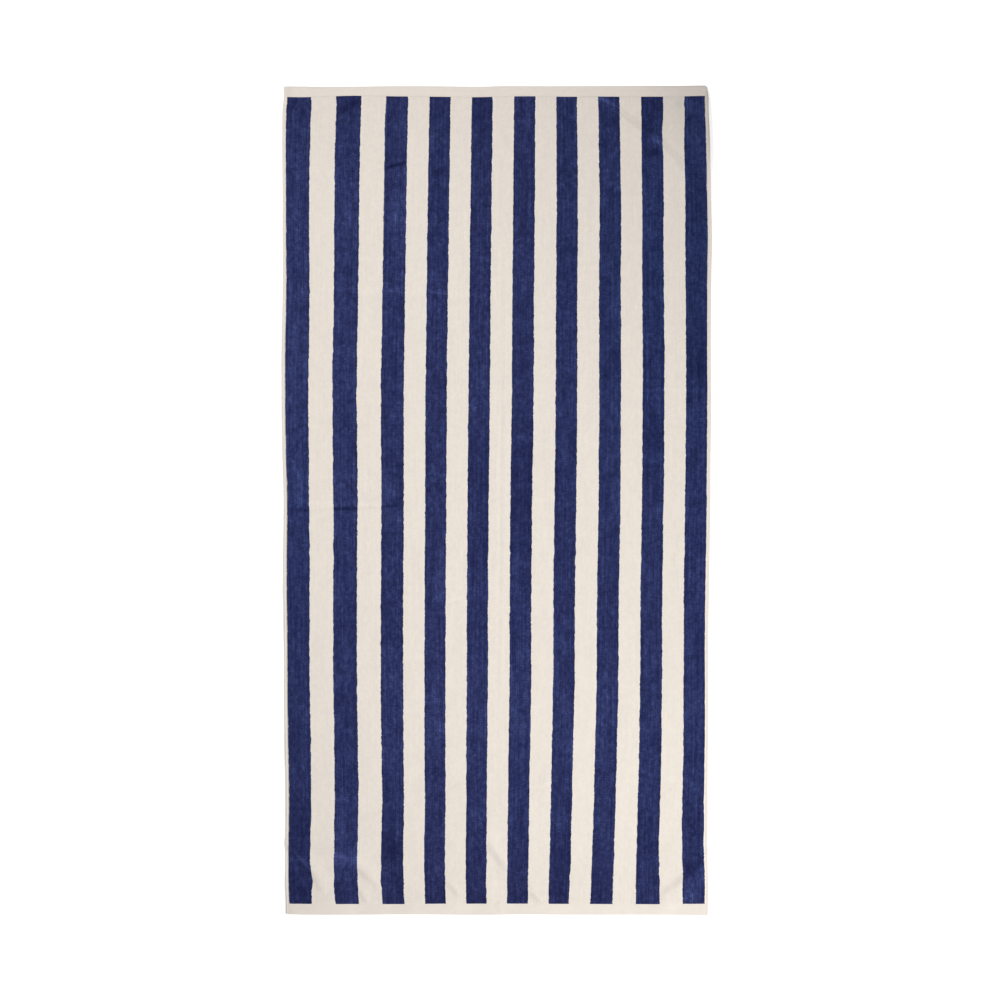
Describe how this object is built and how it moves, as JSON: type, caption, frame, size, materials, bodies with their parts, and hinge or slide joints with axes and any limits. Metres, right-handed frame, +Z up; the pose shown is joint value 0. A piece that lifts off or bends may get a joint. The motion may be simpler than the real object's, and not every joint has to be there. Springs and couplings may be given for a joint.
{
  "type": "beach towel",
  "caption": "Striped terry beach towel with plain woven end hems, laid out flat and face up with soft creases at its corners.",
  "frame": {"origin": "on the ground under the centre of the laid-out towel", "axes": "+X across the width, +Y along the length towards the head end, +Z up out of the striped face"},
  "size_m": [0.9193, 1.772, 0.009],
  "materials": {
    "terry_cloth": "cotton terry with a sheared velour face, cream with navy stripes along the length"
  },
  "bodies": {
    "root": {"towel": "terry_cloth"}
  },
  "joints": []
}
